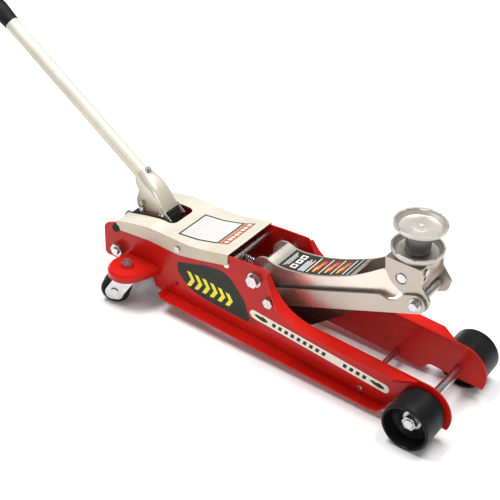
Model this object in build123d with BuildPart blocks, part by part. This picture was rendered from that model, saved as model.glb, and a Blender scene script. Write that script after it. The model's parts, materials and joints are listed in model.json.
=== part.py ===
"""Hydraulic floor jack: pressed steel chassis, lift arm with levelling links, hydraulic unit and pump handle.

Frame: +X is forward (towards the saddle), +Y is left, +Z is up. The origin is on the floor, in the symmetry
plane, at the middle of the jack's length. Side profiles are drawn as (x from the front axle, z) on side(y).
"""
from math import cos, hypot, radians, sin
import os

from build123d import *

os.makedirs("parts", exist_ok=True)

# ---- driving dimensions, mm -------------------------------------------------------------------------------
AXLE_X = 473.1            # front axle, ahead of the middle of the length
WHEEL_R = 40.0            # front wheels
AXLE_R = 8.0
WHEEL_WIDTH = 53.0
WEB_OUT = 59.0            # outer face of each side plate
SHEET = 3.0               # thickness of the side plates and brackets
FLANGE_WIDTH = 22.0
NOSE_R = 47.6
RUNNING = 0.05            # radial clearance of a turning fit

ARM_PIVOT = (-316.0, 136.0)
LINK_PIVOT = (-286.0, 105.0)
ARM_TIP = (-74.5, 235.0)
LINK_TIP = (ARM_TIP[0] + LINK_PIVOT[0] - ARM_PIVOT[0], ARM_TIP[1] + LINK_PIVOT[1] - ARM_PIVOT[1])
ARM_OUT = 30.0            # half width of the arm channel
ARM_SHEET = 4.0
CARRIER_OUT = 34.4
LINK_IN, LINK_OUT = 35.2, 38.8
SHAFT_R = 10.0
TIP_PIN_R = 8.0
LINK_PIN_R = 7.0

SADDLE_X = -71.0
SADDLE_R = 40.5
LOWER_FLOOR_Z = 262.0
UPPER_RIM_Z = 317.5

LEVER_R = 55.0            # from the arm's pivot down to the ram roller
LEVER_ANGLE = 2.0         # degrees ahead of straight down, at rest
RAM_Z = 86.8
RAM_R = 14.0
ROLLER_R = 10.0
RAM_GAP = 1.3             # between the ram's face and its roller, at rest

COVER_TOP = [(-604, 129), (-564, 139), (-532, 145), (-447, 145), (-416, 150), (-369, 161.5)]
COVER_SKIRT = [(-604, 112), (-532, 119), (-468, 117), (-426, 126), (-369, 140)]
COVER_SHEET = 2.0
COVER_OUT = WEB_OUT + 0.2 + COVER_SHEET

CASTER = (-557.0, 90.0)   # swivel axis: x, distance from the symmetry plane
CASTER_TURN = 26.0        # degrees that the casters trail outwards, at rest
CASTER_WHEEL_R = 25.0
TRAIL = 20.0
BRACKET_TOP_Z = 72.0

SOCKET_PIVOT = (-538.0, 144.0)
ROLLER_PIN = (-580.0, 144.0)
SOCKET_OUT = 19.5
HANDLE_FOOT = (-575.0, 183.1)
HANDLE_RISE = 33.6        # degrees above level, at rest
TUBE_R = 12.5
TUBE_FOOT, TUBE_END = 9.0, 472.0
GRIP_START, GRIP_END = 370.0, 495.0
SETSCREW_AT = 21.0        # along the handle, from its foot


# ---- helpers ----------------------------------------------------------------------------------------------
def side(y):
    """Vertical plane at y, seen from the right-hand side; its sketches extrude towards -Y."""
    return Plane(origin=(AXLE_X, y, 0), x_dir=(1, 0, 0), z_dir=(0, -1, 0))


def across(x, z, y=0.0):
    """Placement of a solid whose own axis runs across the jack."""
    return Plane(origin=(AXLE_X + x, y, z), x_dir=(1, 0, 0), z_dir=(0, -1, 0))


def level(x, y, z):
    return Plane(origin=(AXLE_X + x, y, z))


def closed(points, radii, plane):
    """Face with rounded corners; the first and last points stay sharp."""
    with BuildSketch(plane) as face:
        with BuildLine():
            outline = FilletPolyline(*points, radius=radii)
            Line(outline @ 1, outline @ 0)
        make_face()
    return face.sketch


def band(points, radii, thickness, plane):
    """Strip of sheet that follows a polyline, seen edge on; the sheet lies above the line."""
    lifted = [(x, z + thickness) for x, z in points]
    with BuildSketch(plane) as face:
        with BuildLine():
            low = FilletPolyline(*points, radius=radii)
            high = FilletPolyline(*lifted, radius=radii)
            Line(low @ 0, high @ 0)
            Line(low @ 1, high @ 1)
        make_face()
    return face.sketch


def hexagon(plane, flats):
    with BuildSketch(plane) as face:
        RegularPolygon(flats / 2, 6, major_radius=False)
    return face.sketch


def save(part, name):
    part.label = name
    export_step(part, f"parts/{name}.step")


def export_pair(right, name):
    """Writes a right-hand piece and its mirror image."""
    save(right, f"{name}_right")
    save(mirror(right, about=Plane.XZ), f"{name}_left")


# ---- chassis ----------------------------------------------------------------------------------------------
WEB_REST = [
    (-279, 138), (-291.5, 163), (-338, 160), (-372, 157), (-418, 146.4), (-450, 141.8), (-530, 141.8),
    (-602, 125.5), (-634, 112), (-634, 48), (-532, 53), (-520, 27.5), (-490, 25.5), (-66, 9.5), (-50, 24),
]
WEB_RADII = [8, 25, 30, 40, 40, 50, 14, 16, 8, 6, 6, 12, 9, 10]
UPPER_TIE = (-373.0, 138.0)
LOWER_TIE = (-109.5, 21.8)
REAR_TIE = (-600.0, 73.0)
COVER_SCREW = (-471.0, 128.0)
REAR_PLUG = (-606.0, 113.0)
WEB_HOLES = [
    ((0, WHEEL_R), AXLE_R + RUNNING), (ARM_PIVOT, 6.0), (LINK_PIVOT, 5.0), (UPPER_TIE, 6.0),
    (LOWER_TIE, 5.0), (REAR_TIE, 7.0), (COVER_SCREW, 2.5), (REAR_PLUG, 4.0), ((-474, 56), 4.0),
]

with BuildPart() as side_plate:
    with BuildSketch(side(SHEET - WEB_OUT)) as web:
        with BuildLine():
            nose = CenterArc((0, WHEEL_R), NOSE_R, -25, 115)
            shoulder = Line(nose @ 1, (-205, 95.5))
            TangentArc(shoulder @ 1, WEB_REST[0], tangent=shoulder % 1)
            FilletPolyline(*WEB_REST, nose @ 0, radius=WEB_RADII)
        make_face()
        for (hole_x, hole_z), radius in WEB_HOLES:
            with Locations((hole_x, hole_z)):
                Circle(radius, mode=Mode.SUBTRACT)
    extrude(amount=SHEET)
    # bottom flange, curled up at both ends
    lower_edge = [(-498, 34), (-490, 25.5), (-85, 9.3), (-66, 12), (-51, 26)]
    extrude(band(lower_edge, [5, 30, 12], SHEET, side(-WEB_OUT)), amount=FLANGE_WIDTH)
    # upper flange, which follows the shoulder and sweeps up to the arm's pivot
    with BuildSketch(side(-WEB_OUT)):
        with BuildLine():
            rim = Line((-14, 86.8), (-205, 95.5))
            sweep_up = TangentArc(rim @ 1, (-279, 138), tangent=rim % 1)
            top = Line(sweep_up @ 1, (-289, 157))
            back = Line(top @ 1, top @ 1 - Vector(3, 1))
            under = Line(back @ 1, (-281.6, 136.6))
            return_arc = TangentArc((-205, 92.5), under @ 1, tangent=(-1, 0.045))
            Line(return_arc @ 0, (-14, 83.8))
            Line((-14, 83.8), rim @ 0)
        make_face()
    extrude(amount=FLANGE_WIDTH)
    # the upper flange tapers into the web at its front and at its top
    with BuildSketch(level(0, 0, 60)):
        with BuildLine():
            Polyline((-10, -WEB_OUT), (-58, -90), (0, -90), (-10, -WEB_OUT))
        make_face()
        with BuildLine():
            Polyline((-303, -WEB_OUT), (-237, -90), (-320, -90), (-303, -WEB_OUT))
        make_face()
    extrude(amount=105, mode=Mode.SUBTRACT)
export_pair(side_plate.part, "side_plate")

with BuildPart() as cover_plate:
    top_line = COVER_TOP + COVER_SKIRT[::-1]
    radii = [60, 40, 40, 60, 2, 2, 60, 60, 60]
    extrude(closed(top_line, radii[:len(top_line) - 2], side(COVER_OUT)), amount=2 * COVER_OUT)
    inner = [(x, z - COVER_SHEET) for x, z in COVER_TOP]
    inner = [(-640, inner[0][1] - 12)] + inner + [(-330, inner[-1][1] + 12), (-330, 60), (-640, 60)]
    inner_radii = [2, 60, 40, 40, 60, 2, 2, 2]
    extrude(closed(inner, inner_radii, side(COVER_OUT - COVER_SHEET)),
            amount=2 * (COVER_OUT - COVER_SHEET), mode=Mode.SUBTRACT)
    # slot for the handle socket, open to the rear
    with BuildSketch(level(0, 0, 100)):
        with Locations((-565, 0)):
            slot = Rectangle(120, 58)
        fillet(slot.vertices().group_by(Axis.X)[-1], 12)
    extrude(amount=70, mode=Mode.SUBTRACT)
    # notch round the rear plug, and screw holes
    with Locations(across(*REAR_PLUG)):
        Cylinder(9, 200, mode=Mode.SUBTRACT)
    with Locations(across(*COVER_SCREW)):
        Cylinder(2.5, 200, mode=Mode.SUBTRACT)
save(cover_plate.part, "cover_plate")

with BuildPart() as cover_screws:
    for hand in (1, -1):
        with Locations(across(*COVER_SCREW, hand * (COVER_OUT + 1.4))):
            Cylinder(5.5, 2.8)
        with Locations(across(*COVER_SCREW, hand * (COVER_OUT - 4))):
            Cylinder(2.5, 9)
save(cover_screws.part, "cover_screws")

with BuildPart() as rear_plugs:
    for hand in (1, -1):
        with Locations(across(*REAR_PLUG, hand * (WEB_OUT + 1.5))):
            Cylinder(7.5, 3)
        with Locations(across(*REAR_PLUG, hand * (WEB_OUT - 3))):
            Cylinder(4, 8)
save(rear_plugs.part, "rear_plugs")


def tie_rod(centre, radius, half_length):
    with BuildPart() as rod:
        with Locations(across(*centre)):
            Cylinder(radius, 2 * half_length)
        chamfer(rod.edges().filter_by(GeomType.CIRCLE), 0.8)
    return rod.part


save(tie_rod(UPPER_TIE, 6.0, WEB_OUT), "upper_tie_rod")
save(tie_rod(LOWER_TIE, 5.0, WEB_OUT + 3), "lower_tie_rod")
save(tie_rod(REAR_TIE, 7.0, WEB_OUT + 15), "rear_tie_rod")


def hex_nuts(centre, flats, bore, inner, thickness):
    """A nut on each side of the jack, from the distance inner outwards."""
    with BuildPart() as nuts:
        for start, amount in ((-inner, thickness), (inner, -thickness)):
            extrude(hexagon(across(*centre, start), flats), amount=amount)
        with Locations(across(*centre)):
            Cylinder(bore, 400, mode=Mode.SUBTRACT)
    return nuts.part


def washers(centre, radius, bore, inner, thickness):
    with BuildPart() as rings:
        for hand in (1, -1):
            with Locations(across(*centre, hand * (inner + thickness / 2))):
                Cylinder(radius, thickness)
        with Locations(across(*centre)):
            Cylinder(bore, 400, mode=Mode.SUBTRACT)
    return rings.part


save(hex_nuts(REAR_TIE, 22, 7.0, WEB_OUT, 11), "rear_tie_nuts")

# ---- front axle and wheels --------------------------------------------------------------------------------
WHEEL_IN = WEB_OUT + 3.7
WHEEL_OUT = WHEEL_IN + WHEEL_WIDTH
HUB_FACE = WHEEL_OUT - 26.5        # the hub is sunk into the wheel's outer face

save(tie_rod((0, WHEEL_R), AXLE_R, HUB_FACE + 14), "front_axle")
save(washers((0, WHEEL_R), 15.5, AXLE_R, HUB_FACE + 0.3, 2), "axle_washers")
save(hex_nuts((0, WHEEL_R), 21, AXLE_R, HUB_FACE + 2.3, 10), "axle_nuts")

with BuildPart() as front_wheel:
    with BuildSketch(Plane(origin=(AXLE_X, -WHEEL_IN, WHEEL_R), x_dir=(0, -1, 0), z_dir=(1, 0, 0))):
        with BuildLine():
            sunk = HUB_FACE - WHEEL_IN
            FilletPolyline((0, AXLE_R + RUNNING), (0, 15), (4, 17), (4, WHEEL_R - 7), (0, WHEEL_R - 5),
                           (0, WHEEL_R - 1.5), (1.5, WHEEL_R), (WHEEL_WIDTH - 2, WHEEL_R),
                           (WHEEL_WIDTH, WHEEL_R - 2), (WHEEL_WIDTH, WHEEL_R - 4),
                           (WHEEL_WIDTH - 2, WHEEL_R - 5), (sunk + 6, WHEEL_R - 9), (sunk, 24),
                           (sunk, AXLE_R + RUNNING), radius=0.8, close=True)
        make_face()
    revolve(axis=Axis((AXLE_X, 0, WHEEL_R), (0, 1, 0)))
export_pair(front_wheel.part, "front_wheel")

# ---- casters ----------------------------------------------------------------------------------------------
FORK_TOP_Z = 63.0
AXLE_CAP_R = 7.5


def caster_plane(height):
    """Level plane on the swivel axis, with x along the trail."""
    turn = radians(CASTER_TURN)
    return Plane(origin=(AXLE_X + CASTER[0], -CASTER[1], height), x_dir=(-cos(turn), -sin(turn), 0))


def fork_side(offset):
    """Vertical plane along the trail, offset sideways from the swivel axis."""
    base = caster_plane(0)
    return Plane(origin=base.origin + base.y_dir * offset, x_dir=base.x_dir, z_dir=base.y_dir * -1)


BRACKET_DEPTH = 14.0
CROWN = 4.0               # height of the bracket's bevelled crown


def bracket_outline(height, inset):
    """Round pan that widens towards the side plate."""
    with BuildSketch(level(CASTER[0], -CASTER[1], height)) as outline:
        Circle(33)
        with Locations((-20, CASTER[1] - WEB_OUT + 6), (46, CASTER[1] - WEB_OUT + 6)):
            Circle(4)
        make_hull()
        if inset:
            offset(amount=-inset)
    return outline.sketch


with BuildPart() as caster_bracket:
    skirt_z = BRACKET_TOP_Z - BRACKET_DEPTH
    extrude(bracket_outline(skirt_z, 0), amount=BRACKET_DEPTH - CROWN)
    extrude(bracket_outline(BRACKET_TOP_Z - CROWN, 0), amount=CROWN, taper=40)
    extrude(bracket_outline(skirt_z, SHEET), amount=BRACKET_DEPTH - SHEET, mode=Mode.SUBTRACT)
    # cut flush with the side plate
    with Locations(level(CASTER[0], 20 - WEB_OUT, skirt_z)):
        Box(200, 40, 60, mode=Mode.SUBTRACT)
    with Locations(level(CASTER[0], -CASTER[1], BRACKET_TOP_Z)):
        Cylinder(6, 60, mode=Mode.SUBTRACT)
export_pair(caster_bracket.part, "caster_bracket")

with BuildPart() as king_bolts:
    for hand in (1, -1):
        with Locations(level(CASTER[0], hand * CASTER[1], 69.5)):
            Cylinder(6, 29)
        extrude(hexagon(level(CASTER[0], hand * CASTER[1], BRACKET_TOP_Z), 18), amount=8)
        with Locations(level(CASTER[0], hand * CASTER[1], 57)):
            Cylinder(9, 4)
save(king_bolts.part, "king_bolts")

with BuildPart() as caster_fork:
    with BuildSketch(caster_plane(FORK_TOP_Z - 2.5)):
        Circle(21)
        with Locations((8, 0)):
            Rectangle(24, 32)
    extrude(amount=2.5)
    # bearing cup on top of the fork
    with BuildSketch(caster_plane(FORK_TOP_Z)):
        Circle(20)
    extrude(amount=BRACKET_TOP_Z - SHEET - 0.3 - FORK_TOP_Z)
    cheek = [(-14, FORK_TOP_Z), (-12, 46), (TRAIL - 16, 22), (TRAIL - 12, 10), (TRAIL + 12, 10),
             (TRAIL + 17, 26), (22, 50), (20, FORK_TOP_Z)]
    for offset_y in (-13.5, 16.0):
        extrude(closed(cheek, [6, 20, 11, 11, 14, 10], fork_side(offset_y)), amount=2.5)
    with BuildSketch(caster_plane(40)):
        Circle(6 + RUNNING)
    extrude(amount=40, mode=Mode.SUBTRACT)
    with BuildSketch(fork_side(30)):
        with Locations((TRAIL, CASTER_WHEEL_R)):
            Circle(4.5)
    extrude(amount=60, mode=Mode.SUBTRACT)
export_pair(caster_fork.part, "caster_fork")

with BuildPart() as caster_axle:
    for start, amount, radius in ((16, 32, 4.5), (18.5, 2.5, AXLE_CAP_R), (-16, 2.5, AXLE_CAP_R)):
        with BuildSketch(fork_side(start)):
            with Locations((TRAIL, CASTER_WHEEL_R)):
                Circle(radius)
        extrude(amount=amount)
export_pair(caster_axle.part, "caster_axle")

with BuildPart() as caster_wheel:
    with BuildSketch(fork_side(11.5)):
        with Locations((TRAIL, CASTER_WHEEL_R)):
            Circle(CASTER_WHEEL_R)
    extrude(amount=23)
    tread = caster_wheel.edges().filter_by(GeomType.CIRCLE)
    fillet(tread, 3)
    for start in (11.5, -8.0):
        with BuildSketch(fork_side(start)):
            with Locations((TRAIL, CASTER_WHEEL_R)):
                Circle(18)
                Circle(9, mode=Mode.SUBTRACT)
        extrude(amount=3.5, mode=Mode.SUBTRACT)
    with BuildSketch(fork_side(20)):
        with Locations((TRAIL, CASTER_WHEEL_R)):
            Circle(4.5 + RUNNING)
    extrude(amount=40, mode=Mode.SUBTRACT)
export_pair(caster_wheel.part, "caster_wheel")

# ---- lift arm ---------------------------------------------------------------------------------------------
arm_span = hypot(ARM_TIP[0] - ARM_PIVOT[0], ARM_TIP[1] - ARM_PIVOT[1])
arm_dir = Vector(ARM_TIP[0] - ARM_PIVOT[0], 0, ARM_TIP[1] - ARM_PIVOT[1]) / arm_span


def arm_side(y):
    """Side plane whose origin is the arm's pivot and whose x runs along the arm."""
    return Plane(origin=(AXLE_X + ARM_PIVOT[0], y, ARM_PIVOT[1]), x_dir=arm_dir, z_dir=(0, -1, 0))


ROLLER_AT = (ARM_PIVOT[0] + LEVER_R * sin(radians(LEVER_ANGLE)),
             ARM_PIVOT[1] - LEVER_R * cos(radians(LEVER_ANGLE)))
ARM_SCOOP = [(12, 22), (24, 12), (52, 2), (89, -3.8), (127, -4.8), (166, -2.6), (200, 4), (230, 12)]


def arm_outline(y):
    with BuildSketch(arm_side(y)) as outline:
        with BuildLine():
            heel = CenterArc((0, 0), 25, 61, 150)
            scoop = Spline(heel @ 0, *ARM_SCOOP[1:])
            tip = CenterArc((arm_span, 0), 15, -90, 180)
            Line(scoop @ 1, tip @ 1)
            FilletPolyline(tip @ 0, (238, -34), (165, -46), (147, -66), (62, -95), (6, -72), (-27, -62),
                           (-34, -46), heel @ 1, radius=[12, 20, 9, 12, 20, 13, 14])
        make_face()
        with Locations((0, 0)):
            Circle(SHAFT_R + RUNNING, mode=Mode.SUBTRACT)
        with Locations((arm_span, 0)):
            Circle(TIP_PIN_R, mode=Mode.SUBTRACT)
    return outline.sketch


with BuildPart() as lift_arm:
    extrude(arm_outline(ARM_OUT), amount=ARM_SHEET)
    extrude(arm_outline(ARM_SHEET - ARM_OUT), amount=ARM_SHEET)
    # top plate, following the scoop as far as the saddle carrier's swing
    with BuildSketch(arm_side(ARM_OUT)):
        with BuildLine():
            upper = Spline(*ARM_SCOOP[:-2])
            lower = Spline(*[(s, n - ARM_SHEET) for s, n in ARM_SCOOP[:-2]])
            Line(upper @ 0, lower @ 0)
            Line(upper @ 1, lower @ 1)
        make_face()
    extrude(amount=2 * ARM_OUT)
    # distance tube that turns on the main shaft
    with Locations(across(*ARM_PIVOT)):
        Cylinder(15, 2 * (ARM_OUT - ARM_SHEET))
        Cylinder(SHAFT_R + RUNNING, 100, mode=Mode.SUBTRACT)
    with Locations(across(*ROLLER_AT)):
        Cylinder(7, 100, mode=Mode.SUBTRACT)
save(lift_arm.part, "lift_arm")

save(tie_rod(ROLLER_AT, 7.0, ARM_OUT), "lever_pin")

with BuildPart() as ram_roller:
    with Locations(across(*ROLLER_AT)):
        Cylinder(ROLLER_R, 28)
        Cylinder(7, 40, mode=Mode.SUBTRACT)
save(ram_roller.part, "ram_roller")

save(tie_rod(ARM_TIP, TIP_PIN_R, CARRIER_OUT + 0.3), "arm_tip_pin")

with BuildPart() as arm_shaft:
    with Locations(across(*ARM_PIVOT)):
        Cylinder(SHAFT_R, 2 * (WEB_OUT - SHEET))
        Cylinder(6, 200, mode=Mode.SUBTRACT)
save(arm_shaft.part, "arm_shaft")

with BuildPart() as arm_bolts:
    for start, amount in ((-WEB_OUT - 2.5, 8), (WEB_OUT + 2.5, -8)):
        extrude(hexagon(across(*ARM_PIVOT, start), 19), amount=amount)
        with BuildSketch(across(*ARM_PIVOT, start)):
            Circle(6)
        extrude(amount=-4.5 * amount)
save(arm_bolts.part, "arm_bolts")
save(washers(ARM_PIVOT, 13, 6, WEB_OUT, 2.5), "arm_bolt_washers")

LINK_HEAD_IN = LINK_IN - 3.2       # inner face of the heads that keep the links on their bolts
with BuildPart() as link_bolts:
    for hand in (1, -1):
        extrude(hexagon(across(*LINK_PIVOT, hand * WEB_OUT), 16), amount=-7 * hand)
        with Locations(across(*LINK_PIVOT, hand * (LINK_HEAD_IN + WEB_OUT) / 2)):
            Cylinder(5, WEB_OUT - LINK_HEAD_IN)
        with Locations(across(*LINK_PIVOT, hand * (LINK_HEAD_IN + 1.4))):
            Cylinder(9, 2.8)
save(link_bolts.part, "link_bolts")
save(washers(LINK_PIVOT, 9, 5, LINK_OUT + 0.3, WEB_OUT - SHEET - LINK_OUT - 0.3), "link_bushes")

# ---- levelling links --------------------------------------------------------------------------------------
link_span = hypot(LINK_TIP[0] - LINK_PIVOT[0], LINK_TIP[1] - LINK_PIVOT[1])


def link_side(y):
    return Plane(origin=(AXLE_X + LINK_PIVOT[0], y, LINK_PIVOT[1]), x_dir=arm_dir, z_dir=(0, -1, 0))


with BuildPart() as link:
    with BuildSketch(link_side(-LINK_IN)):
        with BuildLine():
            FilletPolyline((-16, -16), (-16, 14), (link_span - 60, 14), (link_span - 46, 5),
                           (link_span - 34, 5), (link_span - 18, 15), (link_span + 15, 15),
                           (link_span + 15, -16), radius=[14, 14, 12, 10, 10, 12, 14.5, 14.5], close=True)
        make_face()
        with Locations((0, 0)):
            Circle(5 + RUNNING, mode=Mode.SUBTRACT)
        with Locations((link_span, 0)):
            Circle(LINK_PIN_R + 0.3, mode=Mode.SUBTRACT)
    extrude(amount=LINK_OUT - LINK_IN)
export_pair(link.part, "link")

# ---- saddle carrier ---------------------------------------------------------------------------------------
CARRIER_SIDE = [
    (-104, LOWER_FLOOR_Z), (-102, 240), (-91, 223), (-69, 209), (-60, 191), (-44, 187), (-28, 196),
    (-24, 214), (-41, 235), (-44, LOWER_FLOOR_Z),
]
FRONT_PLATE_X = -46.0
RECESS = 2.0
CARRIER_SCREW = (19.0, 251.0)      # distance to the right of the symmetry plane, and height


def carrier_front(x):
    """Upright plane square to the jack's length; its sketches extrude towards the rear."""
    return Plane(origin=(AXLE_X + x, 0, 0), x_dir=(0, -1, 0), z_dir=(-1, 0, 0))


with BuildPart() as saddle_carrier:
    for start in (CARRIER_OUT, ARM_SHEET - CARRIER_OUT):
        extrude(closed(CARRIER_SIDE, [8, 14, 12, 8, 11, 10, 8, 16], side(start)), amount=ARM_SHEET)
    with Locations(level(-74, 0, LOWER_FLOOR_Z - 2)):
        Box(60, 2 * CARRIER_OUT, 4)
    with Locations(level(FRONT_PLATE_X, 0, LOWER_FLOOR_Z - 15)):
        Box(3, 2 * CARRIER_OUT - 1, 30)
    with Locations(across(*ARM_TIP)):
        Cylinder(TIP_PIN_R + RUNNING, 200, mode=Mode.SUBTRACT)
    with Locations(across(*LINK_TIP)):
        Cylinder(LINK_PIN_R, 200, mode=Mode.SUBTRACT)
    with Locations(level(SADDLE_X, 0, LOWER_FLOOR_Z)):
        Cylinder(10.1, 20, mode=Mode.SUBTRACT)
    # shallow recess round each end of the arm's tip pin
    for start in (CARRIER_OUT, RECESS - CARRIER_OUT):
        with BuildSketch(across(*ARM_TIP, start)):
            Circle(TIP_PIN_R + 2)
        extrude(amount=RECESS, mode=Mode.SUBTRACT)
    with BuildSketch(carrier_front(-30)):
        with Locations(CARRIER_SCREW):
            Circle(3)
        with Locations((CARRIER_SCREW[0], CARRIER_SCREW[1] - 12)):
            Circle(3.5)
    extrude(amount=24, mode=Mode.SUBTRACT)
save(saddle_carrier.part, "saddle_carrier")

with BuildPart() as carrier_screw:
    for start, amount, radius in ((4.5, 3, 5.5), (1.5, 8, 3.0)):
        with BuildSketch(carrier_front(FRONT_PLATE_X + start)):
            with Locations(CARRIER_SCREW):
                Circle(radius)
        extrude(amount=amount)
save(carrier_screw.part, "carrier_screw")

save(tie_rod(LINK_TIP, LINK_PIN_R, LINK_OUT + 9), "link_tip_rod")


def retaining_rings(centre, radius, bore, inner):
    """A snap ring on each end of a pin, open at one side."""
    with BuildPart() as rings:
        for start, amount in ((-inner, 1.4), (inner, -1.4)):
            with BuildSketch(across(*centre, start)):
                Circle(radius)
                Circle(bore, mode=Mode.SUBTRACT)
                with Locations((0, -radius)):
                    Rectangle(bore, 2 * radius, mode=Mode.SUBTRACT)
            extrude(amount=amount)
    return rings.part


save(retaining_rings(LINK_TIP, 10, LINK_PIN_R, LINK_OUT + 0.4), "link_rod_rings")


# ---- saddles ----------------------------------------------------------------------------------------------
def notches(count, z, depth, width):
    """Solid that cuts evenly spaced notches in a saddle's rim."""
    with BuildPart() as cutter:
        with Locations(level(SADDLE_X, 0, z)):
            with PolarLocations(SADDLE_R, count, start_angle=180 / count):
                Box(14, width, depth)
    return cutter.part


LOWER_RIM, LOWER_DEPTH = 15.0, 6.0        # heights above the carrier's top
with BuildPart() as lower_saddle:
    with BuildSketch(across(SADDLE_X, LOWER_FLOOR_Z)):
        with BuildLine():
            FilletPolyline((10.1, 0), (33, 0), (SADDLE_R, LOWER_RIM - 6), (SADDLE_R, LOWER_RIM),
                           (SADDLE_R - 3.5, LOWER_RIM), (SADDLE_R - 4.5, LOWER_RIM - 4), (32, LOWER_DEPTH),
                           (10.1, LOWER_DEPTH), radius=1.2, close=True)
        make_face()
    revolve(axis=Axis((AXLE_X + SADDLE_X, 0, 0), (0, 0, 1)))
    add(notches(8, LOWER_FLOOR_Z + LOWER_RIM, 3, 4), mode=Mode.SUBTRACT)
save(lower_saddle.part, "lower_saddle")

UPPER_FLOOR_Z = UPPER_RIM_Z - 8.0
POST_Z = LOWER_FLOOR_Z + LOWER_DEPTH + 0.3
with BuildPart() as saddle_post:
    with BuildSketch(across(SADDLE_X, 0)):
        with BuildLine():
            FilletPolyline((0, 253), (10, 253), (10, POST_Z), (19.5, POST_Z), (19.5, POST_Z + 4),
                           (18.3, POST_Z + 5), (18.3, POST_Z + 6.5), (19.5, POST_Z + 7.5),
                           (19.5, UPPER_FLOOR_Z - 8), (24, UPPER_FLOOR_Z - 4), (0, UPPER_FLOOR_Z - 4),
                           radius=[0] + 9 * [0.5] + [0], close=True)
        make_face()
    revolve(axis=Axis((AXLE_X + SADDLE_X, 0, 0), (0, 0, 1)))
save(saddle_post.part, "saddle_post")

with BuildPart() as upper_saddle:
    with BuildSketch(across(SADDLE_X, UPPER_FLOOR_Z)):
        with BuildLine():
            FilletPolyline((0, -4), (27, -4), (SADDLE_R, 3), (SADDLE_R, 8), (SADDLE_R - 3.2, 8),
                           (SADDLE_R - 4.5, 5), (31.5, 0), (12, 0), (11, 2), (4.5, 2), (3.5, 0.8), (0, 0.8),
                           radius=[0] + 10 * [0.6] + [0], close=True)
        make_face()
    revolve(axis=Axis((AXLE_X + SADDLE_X, 0, 0), (0, 0, 1)))
    add(notches(8, UPPER_RIM_Z, 3, 3.5), mode=Mode.SUBTRACT)
save(upper_saddle.part, "upper_saddle")

# ---- hydraulic unit ---------------------------------------------------------------------------------------
BLOCK_REAR, BLOCK_FRONT = -612.0, -505.0
BLOCK_LOW, BLOCK_TOP = 54.0, 118.0
BLOCK_HALF = 26.0
GLAND_FRONT = -376.0
CYLINDER_BORE = 17.0
PLUNGER_R = 6.0
POCKET_FLOOR = 100.0
VALVE_Z = 97.0
FILLER_X = -450.0


def lengthwise(x, z, y=0.0):
    """Placement of a solid whose own axis runs forward."""
    return Plane(origin=(AXLE_X + x, y, z), x_dir=(0, 1, 0), z_dir=(1, 0, 0))


with BuildPart() as pump_block:
    with Locations(level((BLOCK_REAR + BLOCK_FRONT) / 2, 0, (BLOCK_LOW + BLOCK_TOP) / 2)):
        Box(BLOCK_FRONT - BLOCK_REAR, 2 * BLOCK_HALF, BLOCK_TOP - BLOCK_LOW)
    chamfer(pump_block.edges().filter_by(Axis.Z), 5)
    # lug that carries the handle socket
    with BuildSketch(side(SOCKET_OUT - 3.2)):
        with Locations(SOCKET_PIVOT):
            Circle(8)
        with BuildLine():
            Polyline((-546, SOCKET_PIVOT[1]), (-558, 110), (-512, 110), (-530, SOCKET_PIVOT[1]),
                     (-546, SOCKET_PIVOT[1]))
        make_face()
    extrude(amount=2 * (SOCKET_OUT - 3.2))
    with Locations(across(*SOCKET_PIVOT)):
        Cylinder(5 + RUNNING, 100, mode=Mode.SUBTRACT)
    with Locations(across(*REAR_TIE)):
        Cylinder(7, 100, mode=Mode.SUBTRACT)
    # plunger bore with its spring pocket
    with BuildSketch(level(ROLLER_PIN[0] + 5, 0, 84)):
        Circle(PLUNGER_R + RUNNING)
    extrude(amount=60, mode=Mode.SUBTRACT)
    with BuildSketch(level(ROLLER_PIN[0] + 5, 0, POCKET_FLOOR)):
        Circle(14)
    extrude(amount=40, mode=Mode.SUBTRACT)
    with BuildSketch(lengthwise(BLOCK_REAR, VALVE_Z)):
        Circle(6 + RUNNING)
    extrude(amount=17, mode=Mode.SUBTRACT)
save(pump_block.part, "pump_block")


def sleeve(rear, front, outer, inner):
    with BuildPart() as tube:
        with BuildSketch(lengthwise(rear, RAM_Z)):
            Circle(outer)
            if inner:
                Circle(inner, mode=Mode.SUBTRACT)
        extrude(amount=front - rear)
    return tube.part


with BuildPart() as reservoir_tube:
    add(sleeve(BLOCK_FRONT, GLAND_FRONT - 14, 31, 28.5))
    with BuildSketch(level(FILLER_X, 0, RAM_Z)):
        Circle(6)
    extrude(amount=60, mode=Mode.SUBTRACT)
save(reservoir_tube.part, "reservoir_tube")
save(sleeve(BLOCK_FRONT, GLAND_FRONT - 14, 22, CYLINDER_BORE), "cylinder_tube")

with BuildPart() as gland_nut:
    with BuildSketch(lengthwise(GLAND_FRONT - 14, RAM_Z)):
        Circle(31)
    extrude(amount=6)
    with BuildSketch(lengthwise(GLAND_FRONT - 8, RAM_Z)):
        RegularPolygon(24, 8)
    extrude(amount=8)
    with BuildSketch(lengthwise(GLAND_FRONT - 20, RAM_Z)):
        Circle(RAM_R + RUNNING)
    extrude(amount=40, mode=Mode.SUBTRACT)
save(gland_nut.part, "gland_nut")

with BuildPart() as filler_plug:
    with BuildSketch(level(FILLER_X, 0, RAM_Z + 28)):
        Circle(6)
    extrude(amount=5)
    with BuildSketch(level(FILLER_X, 0, RAM_Z + 31.2)):
        Circle(8)
    extrude(amount=3)
save(filler_plug.part, "filler_plug")

RAM_FACE = ROLLER_AT[0] - ROLLER_R - RAM_GAP
RAM_LENGTH = 118.0
with BuildPart() as ram:
    add(sleeve(RAM_FACE - RAM_LENGTH, RAM_FACE - 11, RAM_R, 0))
    add(sleeve(RAM_FACE - RAM_LENGTH, RAM_FACE - RAM_LENGTH + 12, CYLINDER_BORE - RUNNING, 0))
save(ram.part, "ram")

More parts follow.
